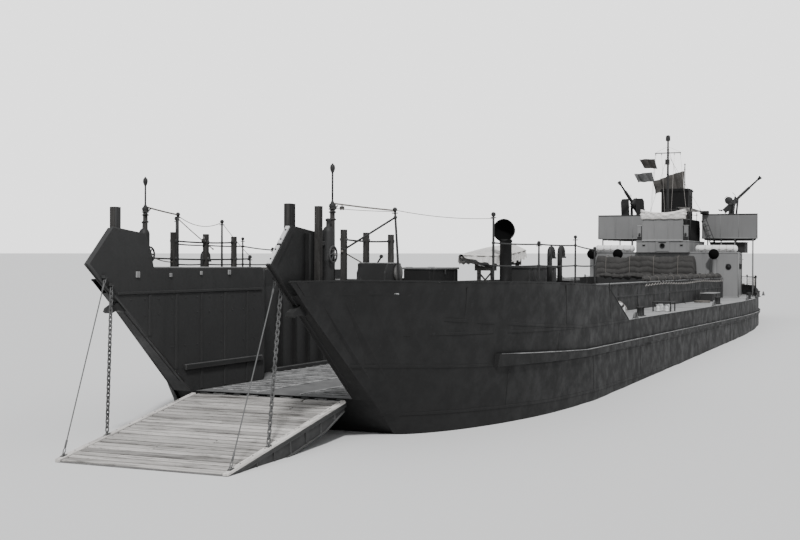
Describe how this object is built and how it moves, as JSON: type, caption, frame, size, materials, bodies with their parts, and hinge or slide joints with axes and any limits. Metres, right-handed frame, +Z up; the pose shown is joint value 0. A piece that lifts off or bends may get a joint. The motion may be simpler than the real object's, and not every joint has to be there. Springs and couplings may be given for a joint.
{
  "type": "tank landing craft, half-size scale model",
  "caption": "Flat-bottomed landing craft with a hinged bow ramp, an open tank hold between side tanks, and a bridge aft with two light gun platforms.",
  "frame": {"origin": "amidships on the centreline, on the flat underside of the bottom", "axes": "+X to the bow, +Y to port, +Z up"},
  "size_m": [24.9599, 4.81, 5.02],
  "materials": {
    "hull_paint": "dull near-black grey paint, weathered",
    "grey_paint": "matt mid grey paint",
    "ramp_timber": "pale weathered planking",
    "post_timber": "dark weathered timber",
    "dark_paint": "dark matt paint",
    "white_paint": "chalky white paint",
    "steel": "worn galvanised steel",
    "bronze": "dull bronze",
    "canvas": "bleached canvas",
    "dark_canvas": "dark tarred canvas",
    "bunting": "dark woven bunting"
  },
  "bodies": {
    "hull": {"hull_bottom": "hull_paint", "aft_hull": "hull_paint", "ramp_hinge_pin": "steel", "deckhouse": "grey_paint", "wheelhouse": "grey_paint", "bridge_screen": "grey_paint", "bridge_dodger": "canvas", "funnel": "dark_paint", "mast": "dark_paint", "ensign_staff": "dark_paint", "ensign": "bunting", "signal_hoist": "bunting", "stern_winch_frame": "dark_paint", "kedge_anchor": "dark_paint", "fore_cowl": "dark_paint", "stern_rail": "dark_paint", "stowed_hold_cover": "dark_canvas", "port_dinghy": "canvas", "port_wing_tank": "hull_paint", "port_bulwark": "hull_paint", "port_bow_wall": "hull_paint", "port_coaming": "grey_paint", "port_rubbing_strake": "hull_paint", "port_ramp_chain": "steel", "port_ramp_wire": "steel", "port_gun_platform": "grey_paint", "port_float": "white_paint", "port_bow_posts": "post_timber", "port_light_mast": "dark_paint", "port_side_rail": "dark_paint", "port_shaft": "steel", "starboard_wing_tank": "hull_paint", "starboard_bulwark": "hull_paint", "starboard_bow_wall": "hull_paint", "starboard_coaming": "grey_paint", "starboard_rubbing_strake": "hull_paint", "starboard_ramp_chain": "steel", "starboard_ramp_wire": "steel", "starboard_gun_platform": "grey_paint", "starboard_float": "white_paint", "starboard_bow_posts": "post_timber", "starboard_light_mast": "dark_paint", "starboard_side_rail": "dark_paint", "starboard_shaft": "steel"},
    "ramp": {"ramp": "ramp_timber"},
    "hand_reel": {"hand_reel": "steel"},
    "starboard_hand_reel": {"starboard_hand_reel": "steel"},
    "stern_winch_drum": {"stern_winch_drum": "steel"},
    "port_gun_head": {"port_gun_head": "dark_paint"},
    "port_gun": {"port_gun": "dark_paint"},
    "port_screw": {"port_screw": "bronze"},
    "port_rudder": {"port_rudder": "hull_paint"},
    "port_house_door": {"port_house_door": "grey_paint"},
    "port_fore_hatch_lid": {"port_fore_hatch_lid": "grey_paint"},
    "starboard_gun_head": {"starboard_gun_head": "dark_paint"},
    "starboard_gun": {"starboard_gun": "dark_paint"},
    "starboard_screw": {"starboard_screw": "bronze"},
    "starboard_rudder": {"starboard_rudder": "hull_paint"},
    "starboard_house_door": {"starboard_house_door": "grey_paint"},
    "starboard_fore_hatch_lid": {"starboard_fore_hatch_lid": "grey_paint"}
  },
  "joints": [
    {"name": "ramp_hinge", "type": "hinge", "parent": "hull", "child": "ramp", "pos_m": [10.478, 0, 0.595], "axis": [0, -1, 0], "range_deg": [0, 48], "deforming": ["port_ramp_chain", "port_ramp_wire", "starboard_ramp_chain", "starboard_ramp_wire"]},
    {"name": "hand_reel_turn", "type": "hinge", "parent": "hull", "child": "hand_reel", "pos_m": [11.262, 1.132, 2.068], "axis": [0, 1, 0], "continuous": true},
    {"name": "starboard_hand_reel_turn", "type": "hinge", "parent": "hull", "child": "starboard_hand_reel", "pos_m": [11.144, -1.012, 2.068], "axis": [0, 1, 0], "continuous": true},
    {"name": "stern_winch_turn", "type": "hinge", "parent": "hull", "child": "stern_winch_drum", "pos_m": [-11.13, 0, 1.4103], "axis": [0, 1, 0], "continuous": true},
    {"name": "port_gun_train", "type": "hinge", "parent": "hull", "child": "port_gun_head", "pos_m": [-9.872, 1.2, 3], "axis": [0, 0, 1], "range_deg": [-90, 80]},
    {"name": "port_gun_elevate", "type": "hinge", "parent": "port_gun_head", "child": "port_gun", "pos_m": [-9.872, 1.2, 3.44], "axis": [1, 0, 0], "range_deg": [-48, 37]},
    {"name": "port_screw_turn", "type": "hinge", "parent": "hull", "child": "port_screw", "pos_m": [-10.99, 0.9, 0.17], "axis": [1, 0, 0], "continuous": true},
    {"name": "port_rudder_turn", "type": "hinge", "parent": "hull", "child": "port_rudder", "pos_m": [-11.33, 0.9, 0.4], "axis": [0, 0, 1], "range_deg": [-35, 35]},
    {"name": "port_house_door_swing", "type": "hinge", "parent": "hull", "child": "port_house_door", "pos_m": [-10.702, 1.012, 1.7], "axis": [0, 0, -1], "range_deg": [0, 100]},
    {"name": "port_fore_hatch_swing", "type": "hinge", "parent": "hull", "child": "port_fore_hatch_lid", "pos_m": [6.278, 1.85, 1.794], "axis": [0, -1, 0], "range_deg": [0, 110]},
    {"name": "starboard_gun_train", "type": "hinge", "parent": "hull", "child": "starboard_gun_head", "pos_m": [-9.872, -1.2, 3], "axis": [0, 0, 1], "range_deg": [-155, 15]},
    {"name": "starboard_gun_elevate", "type": "hinge", "parent": "starboard_gun_head", "child": "starboard_gun", "pos_m": [-9.872, -1.2, 3.44], "axis": [-0.2588, -0.9659, 0], "range_deg": [-40, 45]},
    {"name": "starboard_screw_turn", "type": "hinge", "parent": "hull", "child": "starboard_screw", "pos_m": [-10.99, -0.9, 0.17], "axis": [1, 0, 0], "continuous": true},
    {"name": "starboard_rudder_turn", "type": "hinge", "parent": "hull", "child": "starboard_rudder", "pos_m": [-11.33, -0.9, 0.4], "axis": [0, 0, 1], "range_deg": [-35, 35]},
    {"name": "starboard_house_door_swing", "type": "hinge", "parent": "hull", "child": "starboard_house_door", "pos_m": [-10.702, -1.012, 1.7], "axis": [0, 0, 1], "range_deg": [0, 100]},
    {"name": "starboard_fore_hatch_swing", "type": "hinge", "parent": "hull", "child": "starboard_fore_hatch_lid", "pos_m": [6.278, -1.85, 1.794], "axis": [0, -1, 0], "range_deg": [0, 110]}
  ]
}
